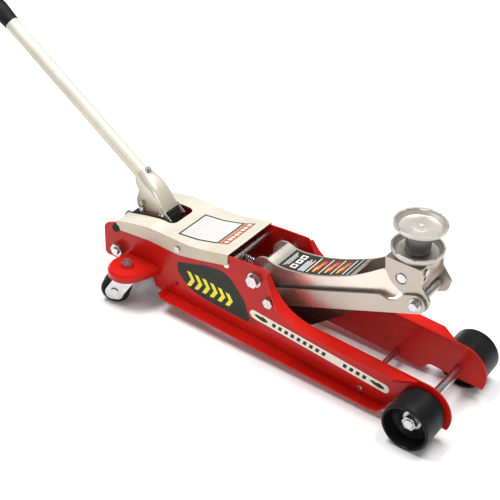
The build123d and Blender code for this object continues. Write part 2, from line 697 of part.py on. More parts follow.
with BuildPart() as ram_head:
    with Locations(level(RAM_FACE - 5.5, 0, RAM_Z)):
        Box(11, 34, 40)
    chamfer(ram_head.edges().filter_by(Axis.X), 5)
save(ram_head.part, "ram_head")

# ---- pump plunger and release valve -----------------------------------------------------------------------
CAP_TOP = ROLLER_PIN[1] - 8 - 0.4
with BuildPart() as pump_plunger:
    with BuildSketch(level(ROLLER_PIN[0] + 5, 0, 86)):
        Circle(PLUNGER_R)
    extrude(amount=CAP_TOP - 86)
    with BuildSketch(level(ROLLER_PIN[0] + 5, 0, CAP_TOP - 4)):
        Circle(13)
    extrude(amount=4)
save(pump_plunger.part, "pump_plunger")

SPRING_TOP = CAP_TOP - 4.2
SPRING_LENGTH = SPRING_TOP - POCKET_FLOOR - 3
with BuildPart() as pump_spring:
    with BuildLine(level(ROLLER_PIN[0] + 5, 0, POCKET_FLOOR + 1.5)):
        coil = Helix(pitch=SPRING_LENGTH / 6, height=SPRING_LENGTH, radius=10)
    with BuildSketch(Plane(origin=coil @ 0, z_dir=coil % 0)):
        Circle(1.3)
    sweep(path=coil, is_frenet=True)
save(pump_spring.part, "pump_spring")

with BuildPart() as release_valve:
    with BuildSketch(lengthwise(BLOCK_REAR + 16, VALVE_Z)):
        Circle(6)
    extrude(amount=-26)
    with BuildSketch(lengthwise(BLOCK_REAR - 9, VALVE_Z)):
        Circle(9)
        Rectangle(20, 6, mode=Mode.SUBTRACT)
    extrude(amount=-12)
    with BuildSketch(lengthwise(BLOCK_REAR - 6, VALVE_Z)):
        Circle(9)
    extrude(amount=-3)
save(release_valve.part, "release_valve")

# ---- handle socket ----------------------------------------------------------------------------------------
rise = radians(HANDLE_RISE)
handle_dir = Vector(-cos(rise), 0, sin(rise))


def along_handle(distance):
    """Plane square to the handle, at a distance from its foot."""
    foot = Vector(AXLE_X + HANDLE_FOOT[0], 0, HANDLE_FOOT[1])
    return Plane(origin=foot + handle_dir * distance, x_dir=(0, 1, 0), z_dir=handle_dir)


SOCKET_SIDE = [
    (-596, 207), (-566, 188), (-545, 170), (-531, 154), (-521, 141), (-538, 132), (-572, 131), (-586, 138),
    (-590, 160), (-598, 173), (-611, 186),
]
with BuildPart() as handle_socket:
    radii = [20, 20, 8, 4, 14, 12, 8, 14, 20]
    extrude(closed(SOCKET_SIDE, radii, side(SOCKET_OUT)), amount=2 * SOCKET_OUT)
    fillet(handle_socket.edges().filter_by(Axis.Y, reverse=True).sort_by(Axis.Z)[-2:], 2)
    with BuildSketch(side(SOCKET_OUT - 2.8)):
        with BuildLine():
            Polyline((-588, 190), (-569, 183.6), (-548, 166), (-534.5, 151.5), (-500, 146), (-500, 118),
                     (-620, 118), (-594, 172), (-588, 190))
        make_face()
    extrude(amount=2 * (SOCKET_OUT - 2.8), mode=Mode.SUBTRACT)
    with BuildSketch(along_handle(4)):
        Circle(15)
    extrude(amount=42)
    with BuildSketch(along_handle(TUBE_FOOT - 0.5)):
        Circle(TUBE_R + RUNNING)
    extrude(amount=60, mode=Mode.SUBTRACT)
    with Locations(across(*SOCKET_PIVOT)):
        Cylinder(5, 100, mode=Mode.SUBTRACT)
    with Locations(across(*ROLLER_PIN)):
        Cylinder(4.5, 100, mode=Mode.SUBTRACT)
    with Locations(Plane(origin=along_handle(SETSCREW_AT).origin, x_dir=(0, 1, 0),
                         z_dir=(sin(rise), 0, cos(rise))).offset(16)):
        Cylinder(3, 12, mode=Mode.SUBTRACT)
save(handle_socket.part, "handle_socket")

with BuildPart() as set_screw:
    top_of_sleeve = Plane(origin=along_handle(SETSCREW_AT).origin, x_dir=(0, 1, 0),
                          z_dir=(sin(rise), 0, cos(rise)))
    with BuildSketch(top_of_sleeve.offset(12)):
        Circle(3)
    extrude(amount=9)
    extrude(hexagon(top_of_sleeve.offset(15.2), 10), amount=4)
save(set_screw.part, "set_screw")

COTTER_R = 1.1
COTTER_IN = SOCKET_OUT + 2.5       # from the symmetry plane to the cotter pins


def cottered_pin(centre, radius, reach):
    """Clevis pin with a head on the left and a cross hole on the right."""
    with BuildPart() as pin:
        add(tie_rod(centre, radius, reach + 2.5))
        with Locations(across(*centre, SOCKET_OUT + 1.3)):
            Cylinder(radius + 3, 2.4)
        with Locations(level(centre[0], -reach, centre[1])):
            Cylinder(COTTER_R, 40, mode=Mode.SUBTRACT)
    return pin.part


save(cottered_pin(SOCKET_PIVOT, 5.0, COTTER_IN), "socket_pin")
save(cottered_pin(ROLLER_PIN, 4.5, COTTER_IN + 1), "roller_pin")

with BuildPart() as pump_roller:
    with Locations(across(*ROLLER_PIN)):
        Cylinder(8, 24)
        Cylinder(4.5, 40, mode=Mode.SUBTRACT)
save(pump_roller.part, "pump_roller")

with BuildPart() as cotter_pins:
    for (pin_x, pin_z), reach in ((SOCKET_PIVOT, COTTER_IN), (ROLLER_PIN, COTTER_IN + 1)):
        with Locations(level(pin_x, -reach, pin_z)):
            Cylinder(COTTER_R, 17)
        with Locations(across(pin_x, pin_z + 10.5, -reach)):
            Cylinder(3.6, 2 * COTTER_R)
            Cylinder(1.6, 10, mode=Mode.SUBTRACT)
save(cotter_pins.part, "cotter_pins")

# ---- handle -----------------------------------------------------------------------------------------------
with BuildPart() as handle_tube:
    with BuildSketch(along_handle(TUBE_FOOT)):
        Circle(TUBE_R)
        Circle(TUBE_R - 2, mode=Mode.SUBTRACT)
    extrude(amount=TUBE_END - TUBE_FOOT)
    with BuildSketch(along_handle(SETSCREW_AT - 5)):
        Circle(TUBE_R + 2)
        Circle(TUBE_R - 0.9, mode=Mode.SUBTRACT)
    extrude(amount=10, mode=Mode.SUBTRACT)
save(handle_tube.part, "handle_tube")

GRIP_R = 15.5
with BuildPart() as handle_grip:
    with BuildSketch(Plane(origin=along_handle(0).origin, x_dir=handle_dir, z_dir=(0, 1, 0))):
        with BuildLine():
            FilletPolyline((GRIP_START, TUBE_R), (GRIP_START, 13.6), (GRIP_START + 30, GRIP_R),
                           (GRIP_END, GRIP_R), (GRIP_END, 0), (TUBE_END + 0.5, 0),
                           (TUBE_END + 0.5, TUBE_R), radius=[0, 1, 20, 5, 0, 0, 0], close=True)
        make_face()
        # finger grooves
        with Locations(*[(GRIP_START + 38 + 7 * i, GRIP_R) for i in range(11)]):
            Circle(1.2, mode=Mode.SUBTRACT)
    revolve(axis=Axis(along_handle(0).origin, handle_dir))
save(handle_grip.part, "handle_grip")
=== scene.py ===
"""Hydraulic floor jack: materials, labels, return spring, studio light and camera around the CAD frame."""
import json
from math import atan2, cos, degrees, pi, radians, sin

import bmesh
import bpy
from mathutils import Matrix, Vector
from mathutils.bvhtree import BVHTree


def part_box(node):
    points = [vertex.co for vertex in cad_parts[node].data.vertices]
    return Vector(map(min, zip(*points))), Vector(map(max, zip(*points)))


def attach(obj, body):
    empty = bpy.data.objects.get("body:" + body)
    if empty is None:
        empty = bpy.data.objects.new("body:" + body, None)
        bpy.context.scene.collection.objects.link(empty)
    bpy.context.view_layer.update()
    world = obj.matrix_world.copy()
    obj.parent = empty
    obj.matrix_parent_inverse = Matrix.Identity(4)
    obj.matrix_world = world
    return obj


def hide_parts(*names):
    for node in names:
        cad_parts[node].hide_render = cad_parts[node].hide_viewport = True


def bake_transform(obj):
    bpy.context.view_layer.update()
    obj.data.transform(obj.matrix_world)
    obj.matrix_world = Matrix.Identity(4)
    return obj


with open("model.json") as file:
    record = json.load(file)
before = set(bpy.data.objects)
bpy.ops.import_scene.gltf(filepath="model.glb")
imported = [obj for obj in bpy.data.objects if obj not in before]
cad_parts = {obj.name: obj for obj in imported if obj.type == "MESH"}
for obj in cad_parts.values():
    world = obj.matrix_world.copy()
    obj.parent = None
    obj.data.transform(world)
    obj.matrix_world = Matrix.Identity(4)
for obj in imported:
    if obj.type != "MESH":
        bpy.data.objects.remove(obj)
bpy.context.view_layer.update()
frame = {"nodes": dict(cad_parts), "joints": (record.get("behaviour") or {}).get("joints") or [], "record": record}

# ---- places taken from the model --------------------------------------------------------------------------
MM = 0.001
AXLE_X = (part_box("front_axle")[0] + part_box("front_axle")[1]).x / 2
JOINTS = {joint["name"]: joint for joint in frame["joints"]}
PIVOT, TIP = (Vector(JOINTS[name]["pos_m"]) for name in ("lift", "saddle_level"))
ALONG = (TIP - PIVOT).normalized()
ARM_UP = Vector((-ALONG.z, 0, ALONG.x))
HANDLE_AT = Vector(JOINTS["handle_twist"]["pos_m"])
HANDLE_ALONG = Vector(JOINTS["handle_twist"]["axis"]).normalized()
HANDLE_UP = Vector((HANDLE_ALONG.z, 0, -HANDLE_ALONG.x))

# ---- camera -----------------------------------------------------------------------------------------------
AZIMUTH, ELEVATION, ROLL = radians(34.9), radians(35.2), radians(2.07)
LENS, SENSOR = 87.3, 36.0        # mm
AIM = Vector((0.1046, 0.0, 0.1376))
DISTANCE = 1.981


def make_camera():
    """Looks at AIM from DISTANCE; azimuth is measured from the right-hand side towards the front."""
    back = Vector((sin(AZIMUTH) * cos(ELEVATION), -cos(AZIMUTH) * cos(ELEVATION), sin(ELEVATION)))
    level_right = Vector((cos(AZIMUTH), sin(AZIMUTH), 0.0))
    level_up = back.cross(level_right)
    right = level_right * cos(ROLL) + level_up * sin(ROLL)
    up = level_up * cos(ROLL) - level_right * sin(ROLL)
    data = bpy.data.cameras.new("camera")
    data.lens = LENS
    data.sensor_width = SENSOR
    data.clip_end = 50.0
    camera = bpy.data.objects.new("camera", data)
    bpy.context.scene.collection.objects.link(camera)
    rotation = Matrix((right, up, back)).transposed().to_4x4()
    camera.matrix_world = Matrix.Translation(AIM + back * DISTANCE) @ rotation
    bpy.context.scene.camera = camera


# ---- light and floor --------------------------------------------------------------------------------------
WORLD_STRENGTH = 0.28
LIGHT_AIM = Vector((0.1, 0.0, 0.1))
LIGHTS = {                       # place, width and depth, power in watts
    "key": ((-0.7, -0.2, 2.5), (1.2, 0.8), 56),
    "top": ((0.7, 0.7, 2.5), (1.5, 1.0), 50),
    "fill": ((1.2, -2.2, 1.0), (1.0, 0.8), 9),
}
FLOOR_HALF = 6.0
FLOOR_DROP = 0.0004              # keeps the floor just clear of the wheels
FLOOR_TONE = 0.93


def area_light(name, place, size, power):
    """Soft light that faces LIGHT_AIM."""
    data = bpy.data.lights.new(name, "AREA")
    data.shape = "RECTANGLE"
    data.size, data.size_y = size
    data.energy = power
    light = bpy.data.objects.new(name, data)
    bpy.context.scene.collection.objects.link(light)
    rotation = (LIGHT_AIM - Vector(place)).to_track_quat("-Z", "Y").to_matrix().to_4x4()
    light.matrix_world = Matrix.Translation(place) @ rotation


def make_floor():
    """Plain pale floor, for renders only."""
    mesh = bpy.data.meshes.new("floor")
    corners = [(i * FLOOR_HALF, j * FLOOR_HALF, 0) for i, j in ((-1, -1), (1, -1), (1, 1), (-1, 1))]
    mesh.from_pydata(corners, [], [(0, 1, 2, 3)])
    floor = bpy.data.objects.new("floor", mesh)
    bpy.context.scene.collection.objects.link(floor)
    floor.location.z = -FLOOR_DROP
    material = bpy.data.materials.new("floor")
    material.use_nodes = True
    shader = material.node_tree.nodes["Principled BSDF"]
    shader.inputs["Base Color"].default_value = (FLOOR_TONE, FLOOR_TONE, FLOOR_TONE, 1.0)
    shader.inputs["Roughness"].default_value = 0.9
    mesh.materials.append(material)


def make_studio():
    """White surround, three soft lights and the floor."""
    world = bpy.data.worlds.new("studio")
    world.use_nodes = True
    background = world.node_tree.nodes["Background"]
    background.inputs["Color"].default_value = (1.0, 1.0, 1.0, 1.0)
    background.inputs["Strength"].default_value = WORLD_STRENGTH
    bpy.context.scene.world = world
    bpy.context.scene.view_settings.view_transform = "Standard"
    for name, (place, size, power) in LIGHTS.items():
        area_light(name, place, size, power)
    make_floor()


# ---- materials --------------------------------------------------------------------------------------------
class Nodes:
    """Short forms for building one material's node tree."""

    def __init__(self, name):
        self.material = bpy.data.materials.new(name)
        self.material.use_nodes = True
        self.tree = self.material.node_tree
        self.shader = self.tree.nodes["Principled BSDF"]
        self.place = self.add("ShaderNodeTexCoord").outputs["Object"]

    def add(self, kind, **values):
        node = self.tree.nodes.new(kind)
        for key, value in values.items():
            setattr(node, key, value)
        return node

    def link(self, source, target):
        self.tree.links.new(source, target)

    def noise(self, scale, detail, roughness=0.5, stretch=(1, 1, 1)):
        mapping = self.add("ShaderNodeMapping")
        mapping.inputs["Scale"].default_value = stretch
        self.link(self.place, mapping.inputs["Vector"])
        node = self.add("ShaderNodeTexNoise")
        node.inputs["Scale"].default_value = scale
        node.inputs["Detail"].default_value = detail
        node.inputs["Roughness"].default_value = roughness
        self.link(mapping.outputs["Vector"], node.inputs["Vector"])
        return node.outputs["Fac"]

    def ramp(self, value, stops):
        """Maps a grey value to colours; stops are (position, colour)."""
        node = self.add("ShaderNodeValToRGB")
        elements = node.color_ramp.elements
        while len(elements) < len(stops):
            elements.new(0.5)
        for element, (position, colour) in zip(elements, stops):
            element.position = position
            element.color = (*colour, 1.0)
        self.link(value, node.inputs["Fac"])
        return node.outputs["Color"]

    def span(self, value, low, high, start, end):
        """Rescales a value from start..end to low..high."""
        node = self.add("ShaderNodeMapRange")
        node.inputs["From Min"].default_value = start
        node.inputs["From Max"].default_value = end
        node.inputs["To Min"].default_value = low
        node.inputs["To Max"].default_value = high
        self.link(value, node.inputs["Value"])
        return node.outputs["Result"]

    def mix(self, factor, first, second):
        """Blends two colours; the node's colour sockets come after its number and vector ones."""
        node = self.add("ShaderNodeMix", data_type="RGBA")
        self.link(factor, node.inputs["Factor"])
        self.link(first, node.inputs[6])
        self.link(second, node.inputs[7])
        return node.outputs[2]

    def slope(self, point, direction, start, end):
        """0 to 1 along a direction from a point, between two distances in metres."""
        offset = self.add("ShaderNodeVectorMath", operation="SUBTRACT")
        offset.inputs[1].default_value = point
        self.link(self.place, offset.inputs[0])
        along = self.add("ShaderNodeVectorMath", operation="DOT_PRODUCT")
        along.inputs[1].default_value = direction
        self.link(offset.outputs["Vector"], along.inputs[0])
        return self.span(along.outputs["Value"], 0.0, 1.0, start, end)

    def upward(self):
        """1 where the surface faces up, 0 where it stands upright."""
        parts = self.add("ShaderNodeSeparateXYZ")
        self.link(self.add("ShaderNodeNewGeometry").outputs["Normal"], parts.inputs["Vector"])
        return self.span(parts.outputs["Z"], 0.0, 1.0, 0.15, 0.7)

    def bump(self, height, strength, distance):
        node = self.add("ShaderNodeBump")
        node.inputs["Strength"].default_value = strength
        node.inputs["Distance"].default_value = distance
        self.link(height, node.inputs["Height"])
        self.link(node.outputs["Normal"], self.shader.inputs["Normal"])

    def set(self, **values):
        """Shader values by socket name, with _ for a space."""
        for key, value in values.items():
            self.shader.inputs[key.replace("_", " ")].default_value = value

    def colour(self, output):
        self.link(output, self.shader.inputs["Base Color"])

    def rough(self, output):
        self.link(output, self.shader.inputs["Roughness"])


def tone(colour, factor):
    """Darker or brighter shade of a colour."""
    return tuple(min(1.0, channel * factor) for channel in colour)


def enamel(name, colour, gloss, coat, grain=420.0, flake=0.0, sheen=0.28, shade_band=None, sides=None):
    """Sprayed paint: uneven tone, faint orange peel and a few duller patches; flake makes it metallic.

    The shade band is (colour, point, direction, start, end): painted shade, a darker tone that fades out along the
    direction.
    Sides is the tone of upright faces: painted shade that makes them darker than level ones.
    """
    nodes = Nodes(name)
    cloud = nodes.noise(9.0, 4.0)
    paint = nodes.ramp(cloud, [(0.3, tone(colour, 0.88)), (0.55, colour), (0.75, tone(colour, 1.08))])
    # painted shade: upright faces take the darker side tone, level faces keep the paint
    if sides:
        paint = nodes.mix(nodes.upward(), nodes.ramp(cloud, [(0.3, tone(sides, 0.85)), (0.7, sides)]), paint)
    # painted shade: a darker tone blended in along a direction from a point
    if shade_band:
        shade_tone = nodes.ramp(cloud, [(0.3, tone(shade_band[0], 0.8)), (0.7, tone(shade_band[0], 1.2))])
        paint = nodes.mix(nodes.slope(*shade_band[1:]), shade_tone, paint)
    nodes.colour(paint)
    nodes.rough(nodes.span(nodes.noise(22.0, 2.0), gloss * 0.85, gloss * 1.25, 0.3, 0.7))
    if flake:
        nodes.bump(nodes.noise(grain, 2.0), 0.015, 0.0001)
    else:
        nodes.bump(nodes.noise(grain, 2.0), 0.08, 0.0003)
    nodes.set(Coat_Weight=coat, Coat_Roughness=0.08, Metallic=flake, Specular_IOR_Level=sheen)
    return nodes.material


def plated(name, colour, roughness, lay=(1, 1, 1)):
    """Zinc plate or ground steel: fine directional lay over a soft mottle."""
    nodes = Nodes(name)
    mottle = nodes.noise(60.0, 5.0, 0.6)
    nodes.colour(nodes.ramp(mottle, [(0.3, tone(colour, 0.75)), (0.7, colour)]))
    nodes.rough(nodes.span(nodes.noise(300.0, 3.0, 0.5, lay), roughness * 0.7, roughness * 1.4, 0.3, 0.7))
    nodes.bump(nodes.noise(700.0, 2.0, 0.5, lay), 0.08, 0.0003)
    nodes.set(Metallic=1.0)
    return nodes.material


def moulded(name, colour, roughness, grain=900.0, depth=0.25):
    """Moulded plastic or rubber with a fine grain and dusty lows."""
    nodes = Nodes(name)
    dust = nodes.noise(25.0, 6.0, 0.65)
    nodes.colour(nodes.ramp(dust, [(0.35, colour), (0.8, tone(colour, 2.2))]))
    nodes.rough(nodes.span(nodes.noise(50.0, 4.0), roughness * 0.85, min(1.0, roughness * 1.2), 0.3, 0.7))
    nodes.bump(nodes.noise(grain, 3.0), depth, 0.0005)
    nodes.set(Specular_IOR_Level=0.15)
    return nodes.material


def make_materials():
    return {
        "red_paint": enamel("red_paint", (0.50, 0.010, 0.006), 0.22, 0.04, sheen=0.2),
        "cream_paint": enamel("cream_paint", (0.85, 0.79, 0.66), 0.30, 0.2, flake=0.4),
        "arm_coat": enamel("arm_coat", (0.46, 0.405, 0.345), 0.29, 0.15, flake=0.85),
        "saddle_coat": enamel("saddle_coat", (0.16, 0.15, 0.14), 0.35, 0.2, flake=0.5),
        "zinc": plated("zinc", (0.60, 0.60, 0.60), 0.24),
        "zinc_satin": plated("zinc_satin", (0.58, 0.57, 0.56), 0.34),
        "polished_steel": plated("polished_steel", (0.70, 0.70, 0.69), 0.20, (1, 12, 1)),
        "unit_paint": enamel("unit_paint", (0.014, 0.014, 0.015), 0.22, 0.6, 250.0),
        "spring_steel": plated("spring_steel", (0.38, 0.38, 0.39), 0.30),
        "black_plastic": moulded("black_plastic", (0.008, 0.008, 0.008), 0.5),
        "black_wheel": moulded("black_wheel", (0.006, 0.006, 0.006), 0.36, 500.0, 0.10),
        "grip_rubber": moulded("grip_rubber", (0.006, 0.006, 0.006), 0.55, 700.0, 0.35),
    }


def more_materials(materials):
    """Finishes of single pieces: painted shade on the lower parts of arm, socket and tube, cast saddles, and
    painted shade on the cover's upright sides.
    """
    # painted shade: the arm's sides darken towards their lower edge and the rear
    materials["arm"] = enamel("arm_coat_low_shade", (0.74, 0.67, 0.58), 0.25, 0.15, flake=0.8,
                              shade_band=((0.10, 0.085, 0.075), PIVOT, ARM_UP + ALONG * 0.15, -0.034, -0.002))
    # painted shade: the socket darkens towards its underside
    materials["socket"] = enamel("cream_paint_low_shade", (0.84, 0.77, 0.63), 0.28, 0.2, flake=0.5,
                                 shade_band=((0.12, 0.10, 0.08), HANDLE_AT, HANDLE_UP, -0.040, 0.020))
    # painted shade: a darker band along the underside of the tube
    materials["tube"] = enamel("cream_paint_tube", (0.84, 0.78, 0.66), 0.28, 0.2, flake=0.4,
                               shade_band=((0.36, 0.30, 0.22), HANDLE_AT, HANDLE_UP, -0.008, 0.006))
    materials["cast"] = enamel("saddle_cast", (0.57, 0.54, 0.50), 0.40, 0.1, 900.0, flake=0.8)
    # painted shade: the cover's upright sides take a darker tone than its top
    materials["cover"] = enamel("cream_paint_cover", (0.86, 0.80, 0.67), 0.30, 0.2, flake=0.4,
                                sides=(0.56, 0.47, 0.37))


def dress_frame(materials):
    """Puts each CAD node's own material in its slot, or the finish that replaces it on a single piece."""
    slots = {entry["node"]: entry["material_slot"] for entry in frame["record"]["subparts"]}
    slots.update(lift_arm="arm", upper_saddle="cast", lower_saddle="cast", cover_plate="cover",
                 handle_tube="tube")
    for name, node in frame["nodes"].items():
        node.data.materials.clear()
        node.data.materials.append(materials[slots[name]])


# ---- pieces -----------------------------------------------------------------------------------------------
def add_piece(name, bm, materials):
    """Object made from a finished bmesh, which is used up."""
    bmesh.ops.recalc_face_normals(bm, faces=bm.faces[:])
    data = bpy.data.meshes.new(name)
    for material in materials:
        data.materials.append(material)
    bm.to_mesh(data)
    bm.free()
    piece = bpy.data.objects.new(name, data)
    bpy.context.scene.collection.objects.link(piece)
    return piece


def ring(bm, centre, right, up, radius, sides):
    """Vertices evenly spaced round a circle that lies in the plane of two directions."""
    turns = [2 * pi * k / sides for k in range(sides)]
    return [bm.verts.new(centre + (right * cos(turn) + up * sin(turn)) * radius) for turn in turns]


def join_rings(bm, first, second):
    """Band of four-cornered faces between two rings with the same number of vertices."""
    for k in range(len(first)):
        following = (k + 1) % len(first)
        bm.faces.new([first[k], first[following], second[following], second[k]])


# ---- printed labels ---------------------------------------------------------------------------------------
# where the rays start from that find a surface: distance from the middle, the floor or the arm, in metres
FROM_SIDE, FROM_ABOVE, FROM_ARM = 0.2, 0.6, 0.15
# height of a label's underside and of its first layer over the surface, and the step to the next, in mm
UNDERSIDE, FIRST_LAYER, LAYER_STEP = -0.1, 0.14, 0.05


def on_web(hand):
    """Label coordinates on a side plate: x from the front axle and height, in millimetres."""
    def ray(u, v):
        return Vector((AXLE_X + u * MM, hand * FROM_SIDE, v * MM)), Vector((0, -hand, 0))
    return ray


def from_above(u, v):
    """Label coordinates seen from above: x from the front axle and y, in millimetres."""
    return Vector((AXLE_X + u * MM, v * MM, FROM_ABOVE)), Vector((0, 0, -1))


def drape(bm, points, ray, surface, high, material_index, cell):
    """Closed thin sheet that follows a surface; points outline it in the label's own coordinates.

    The outline is cut into cells, so that it can bend, and then carried along the rays onto the surface.
    """
    flat = bmesh.new()
    flat.faces.new([flat.verts.new((u, v, 0)) for u, v in points])
    for axis in (0, 1):
        values = [p[axis] for p in points]
        line = min(values) + cell
        while line < max(values) - 0.2 * cell:
            centre = Vector((0, 0, 0))
            centre[axis] = line
            normal = Vector((0, 0, 0))
            normal[axis] = 1
            bmesh.ops.bisect_plane(flat, geom=flat.verts[:] + flat.edges[:] + flat.faces[:], dist=1e-6,
                                   plane_co=centre, plane_no=normal)
            line += cell
    flat.verts.index_update()
    upper, lower = {}, {}
    for vert in flat.verts:
        start, direction = ray(vert.co.x, vert.co.y)
        hit = surface.ray_cast(start, direction)[0]
        upper[vert.index] = bm.verts.new(hit - direction * high * MM)
        lower[vert.index] = bm.verts.new(hit - direction * UNDERSIDE * MM)
    made = []
    for face in flat.faces:
        ids = [vert.index for vert in face.verts]
        made.append(bm.faces.new([upper[i] for i in ids]))
        made.append(bm.faces.new([lower[i] for i in reversed(ids)]))
    for edge in flat.edges:
        if edge.is_boundary:
            a, b = (vert.index for vert in edge.verts)
            made.append(bm.faces.new([upper[a], upper[b], lower[b], lower[a]]))
    for face in made:
        face.material_index = material_index
    flat.free()


def label(name, body, node, ray, layers, cell):
    """Label made of printed layers; each layer is (material, [outline, ...]) and lies on the one before.

    Cell is the size, in millimetres, of the pieces that each outline is cut into.
    """
    mesh = frame["nodes"][node].data
    surface = BVHTree.FromPolygons([v.co for v in mesh.vertices], [p.vertices for p in mesh.polygons])
    bm = bmesh.new()
    for index, (_, outlines) in enumerate(layers):
        for points in outlines:
            drape(bm, points, ray, surface, FIRST_LAYER + LAYER_STEP * index, index, cell)
    piece = add_piece(name, bm, [material for material, _ in layers])
    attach(piece, body)


def bar(x, y, length, width, angle, lean):
    """Four corners of a bar centred at (x, y), turned by an angle; lean slants its short ends."""
    along = Vector((cos(radians(angle)), sin(radians(angle))))
    over = Vector((-along.y, along.x))
    corners = []
    for i, j in ((-1, -1), (1, -1), (1, 1), (-1, 1)):
        point = Vector((x, y)) + along * (i * length / 2 + j * lean / 2) + over * (j * width / 2)
        corners.append((point.x, point.y))
    return corners


def disc(x, y, radius, sides=20):
    turns = [2 * pi * i / sides for i in range(sides)]
    return [(x + radius * cos(turn), y + radius * sin(turn)) for turn in turns]


def oblong(low_u, high_u, low_v, high_v):
    return [(low_u, low_v), (high_u, low_v), (high_u, high_v), (low_u, high_v)]


GLOSSY_INKS = {
    "yellow": (0.86, 0.80, 0.03), "cream": (0.86, 0.84, 0.72), "white": (0.74, 0.74, 0.76),
    "wine": (0.16, 0.03, 0.022), "rust": (0.42, 0.10, 0.04), "gold": (0.72, 0.50, 0.10),
    "brick": (0.36, 0.09, 0.06), "tan": (0.55, 0.33, 0.16),
}
DULL_INKS = {"paper": (0.60, 0.59, 0.58), "faint": (0.47, 0.43, 0.46)}


def print_inks():
    inks = {"black": moulded("ink_black", (0.020, 0.022, 0.016), 0.38, 600.0, 0.05)}
    for name, colour in GLOSSY_INKS.items():
        inks[name] = enamel("ink_" + name, colour, 0.4, 0.1)
    for name, colour in DULL_INKS.items():
        inks[name] = enamel("ink_" + name, colour, 0.5, 0.0)
    return inks


# side plate labels, in millimetres: a dark panel with arrows, and a pale strip that slopes down to the front
PANEL = [(-473, 97), (-473, 86), (-468, 77), (-459, 68), (-447, 58), (-432, 53), (-404, 49), (-373, 47),
         (-342, 46), (-326, 45), (-324, 52), (-328, 66), (-336, 86), (-344, 95), (-354, 106), (-363, 115),
         (-371, 120), (-381, 123), (-395, 122), (-416, 119), (-436, 112), (-459, 105), (-469, 102)]
# rear corner x, middle z, height and thickness of each arrow
PANEL_ARROWS = [(-453, 77, 29, 8), (-437, 76.5, 29, 8), (-421, 76, 29, 8), (-405, 75, 28, 8),
                (-389, 73.5, 27, 8), (-373, 71.5, 25, 8)]
# middle x and z, length and width of the bars ahead of the panel
PANEL_STREAKS = [(-317, 46.5, 15, 1.6), (-315, 50.5, 20, 1.4), (-317, 54.5, 16, 1.2), (-319, 58.5, 12, 1.1),
                 (-321, 63, 9, 1.0)]
STRIP_START = Vector((-323, 67.5))
STRIP_SLOPE = degrees(atan2(-24.5, 255.5))
STRIP_LONG, STRIP_HALF = 265.0, 8.0
BLOCK_ROWS = ((48, 9), (184, 4))          # distance along the strip of the first block, and how many
BLOCK_PITCH, BLOCK_LONG, BLOCK_HIGH = 12, 6.5, 7.5
STREAK_LEAN, BLOCK_LEAN = 4, 1.2          # slant of the short ends
# a low dark blot near each end of the strip: distance from its middle, and offset
BLOT_PLACES = (22, 243)
BLOT = ((-14, 0), (-8, 3.5), (-2, 2.5), (4, 4.5), (12, 2), (14, -2), (6, -4.5), (-4, -3.5))


def strip_point(distance, offset=0.0):
    """Point on the strip label's centre line, from its rear end."""
    along = Vector((cos(radians(STRIP_SLOPE)), sin(radians(STRIP_SLOPE))))
    point = STRIP_START + along * distance + Vector((-along.y, along.x)) * offset
    return point.x, point.y


def strip_outline():
    """The strip's outline, with both ends rounded."""
    points = []
    for centre, start in ((STRIP_HALF, 90), (STRIP_LONG - STRIP_HALF, -90)):
        for i in range(9):
            turn = radians(start + 22.5 * i)
            points.append(strip_point(centre + STRIP_HALF * cos(turn), STRIP_HALF * sin(turn)))
    return points


def chevron(x, z, high, thick):
    """Arrow shape that points forward, from the rear corners of its two arms."""
    reach = 0.3 * high
    return [(x, z - high / 2), (x + thick, z - high / 2), (x + thick + reach, z), (x + thick, z + high / 2),
            (x, z + high / 2), (x + reach, z)]


def web_labels(ink):
    """Panel and strip on both side plates, the same on either side."""
    arrows = [chevron(*place) for place in PANEL_ARROWS]
    streaks = [bar(*place, STRIP_SLOPE, STREAK_LEAN) for place in PANEL_STREAKS]
    blocks = [bar(*strip_point(first + BLOCK_PITCH * i), BLOCK_LONG, BLOCK_HIGH, STRIP_SLOPE, BLOCK_LEAN)
              for first, count in BLOCK_ROWS for i in range(count)]
    blots = [[strip_point(middle + distance, offset) for distance, offset in BLOT] for middle in BLOT_PLACES]
    for hand, suffix in ((-1, "right"), (1, "left")):
        node = "side_plate_" + suffix
        label("panel_label_" + suffix, "chassis", node, on_web(hand),
              [(ink["black"], [PANEL] + streaks), (ink["yellow"], arrows)], 12.0)
        label("strip_label_" + suffix, "chassis", node, on_web(hand),
              [(ink["cream"], [strip_outline()]), (ink["black"], blocks + blots)], 12.0)


def between(corners, across_part, along_part):
    """Point inside a four-cornered label; corners are rear right, front right, front left, rear left."""
    rear_right, front_right, front_left, rear_left = (Vector(c) for c in corners)
    rear = rear_right.lerp(rear_left, across_part)
    front = front_right.lerp(front_left, across_part)
    point = rear.lerp(front, along_part)
    return point.x, point.y


def patch(corners, low_a, high_a, low_s, high_s):
    """Four-cornered piece of a label, between two fractions across and two along."""
    return [between(corners, low_a, low_s), between(corners, low_a, high_s),
            between(corners, high_a, high_s), between(corners, high_a, low_s)]


# corners on the cover: x from the front axle and y, in millimetres
COVER_LABEL = [(-483, -45), (-409, -34), (-409, 41), (-483, 29)]
COVER_BAND = [(-408, -34), (-390, -31), (-390, 46), (-408, 41)]


